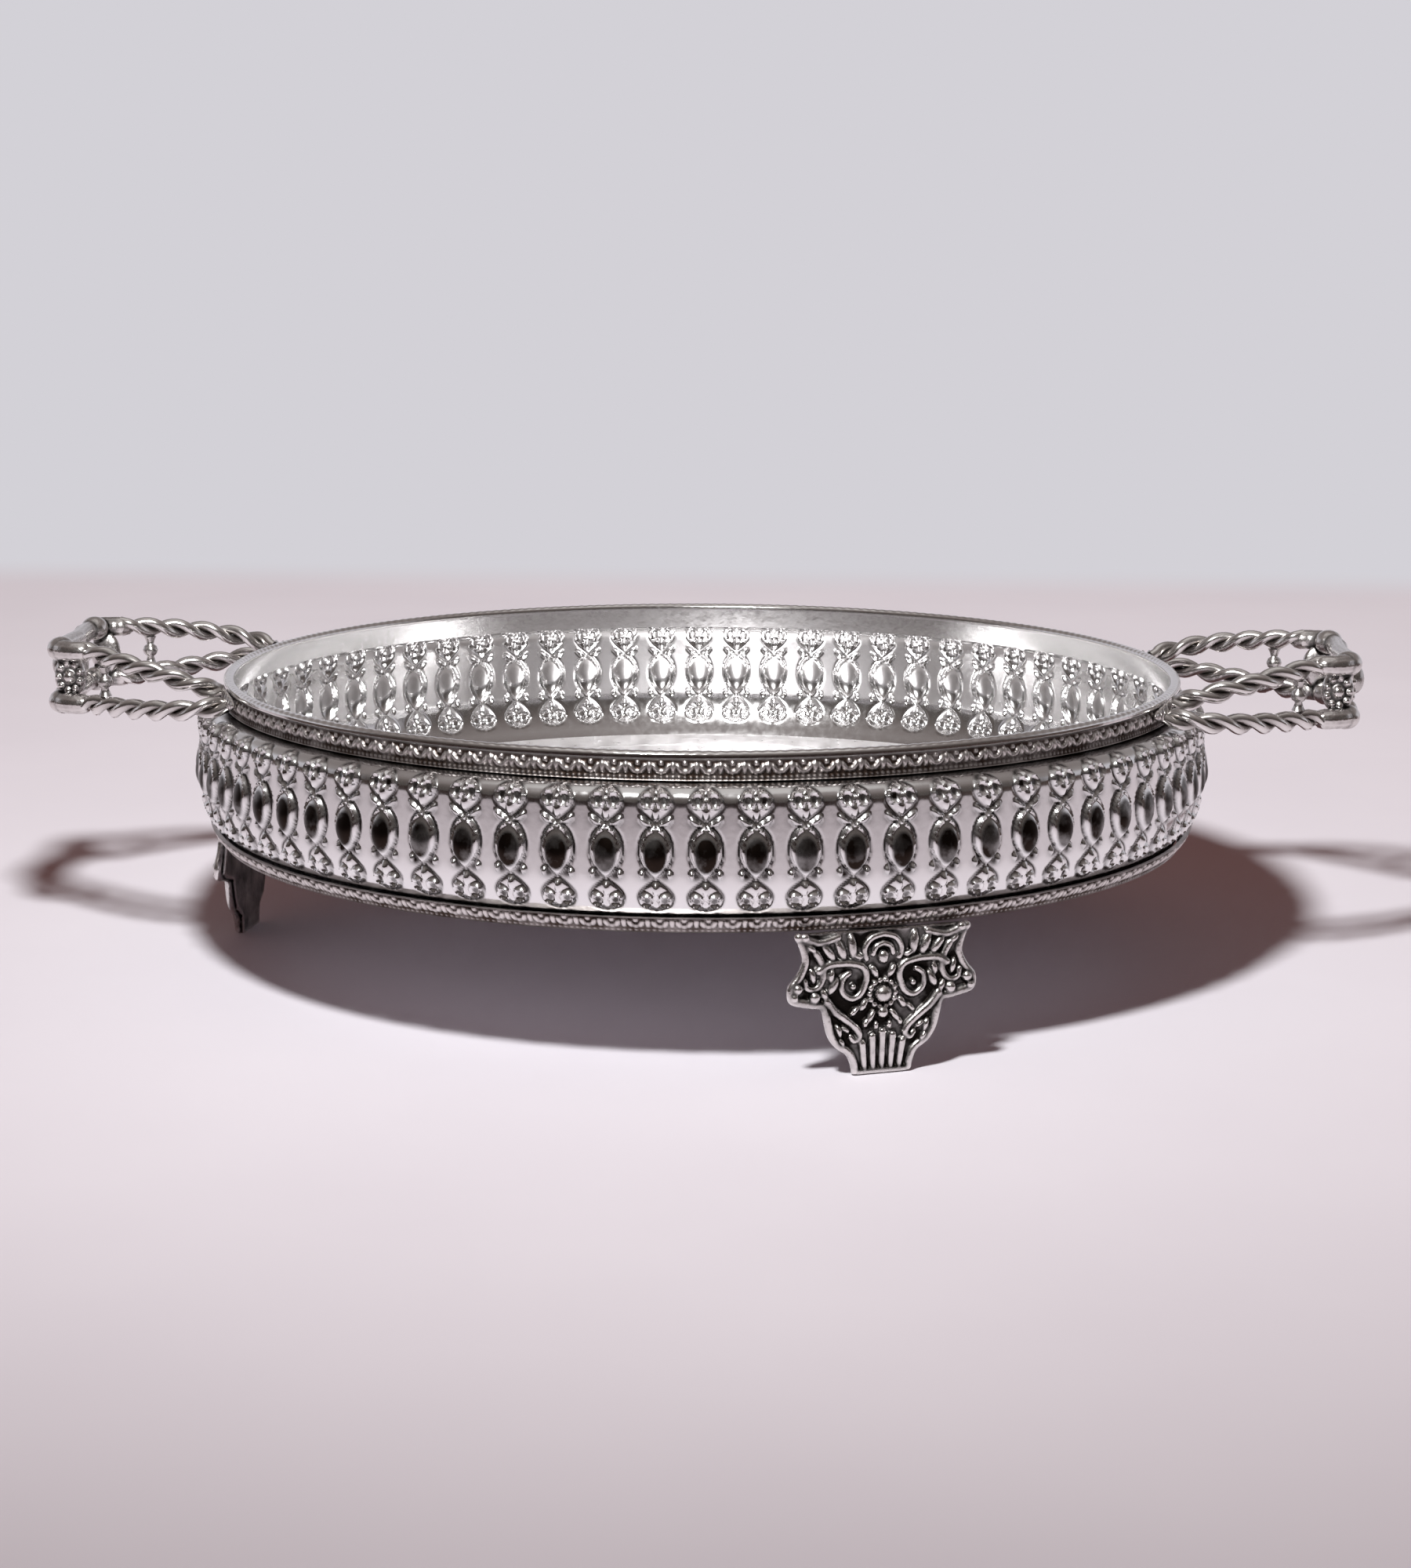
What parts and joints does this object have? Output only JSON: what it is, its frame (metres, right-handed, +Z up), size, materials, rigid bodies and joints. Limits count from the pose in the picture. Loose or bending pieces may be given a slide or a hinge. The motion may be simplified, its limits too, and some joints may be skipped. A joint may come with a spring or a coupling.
{
  "type": "vanity tray",
  "caption": "Round footed vanity tray with a bulging stamped gallery wall, polished lip, flat floor, twisted rope loop handles and cast scroll feet.",
  "frame": {"origin": "on the surface the tray stands on, under the centre of the round tray", "axes": "+Z up, +X towards the right handle, +Y away from the viewer"},
  "size_m": [0.3884, 0.2974, 0.0955],
  "materials": {
    "stamped_silver": "bright silver plate over stamped sheet, worn and slightly tarnished in the recesses",
    "polished_silver": "polished silver plate",
    "cast_silver": "silver plate over a casting, dark in the recesses",
    "twisted_silver": "bright silver plate over twisted wire",
    "nickelled_steel": "dull nickel plate"
  },
  "bodies": {
    "root": {"gallery_wall": "stamped_silver", "rim_lip": "polished_silver", "upper_border": "stamped_silver", "lower_border": "stamped_silver", "floor_plate": "polished_silver", "foot_front": "cast_silver", "foot_front_screw": "nickelled_steel", "foot_front_nut": "nickelled_steel", "foot_back": "cast_silver", "foot_back_screw": "nickelled_steel", "foot_back_nut": "nickelled_steel", "foot_left": "cast_silver", "foot_left_screw": "nickelled_steel", "foot_left_nut": "nickelled_steel", "right_handle_end": "cast_silver", "right_handle_boss": "cast_silver", "right_handle_upper_back_rope": "twisted_silver", "right_handle_lower_back_rope": "twisted_silver", "right_handle_back_strut": "cast_silver", "right_handle_back_pad": "cast_silver", "right_handle_upper_front_rope": "twisted_silver", "right_handle_lower_front_rope": "twisted_silver", "right_handle_front_strut": "cast_silver", "right_handle_front_pad": "cast_silver", "left_handle_end": "cast_silver", "left_handle_boss": "cast_silver", "left_handle_upper_back_rope": "twisted_silver", "left_handle_lower_back_rope": "twisted_silver", "left_handle_back_strut": "cast_silver", "left_handle_back_pad": "cast_silver", "left_handle_upper_front_rope": "twisted_silver", "left_handle_lower_front_rope": "twisted_silver", "left_handle_front_strut": "cast_silver", "left_handle_front_pad": "cast_silver"}
  },
  "joints": []
}
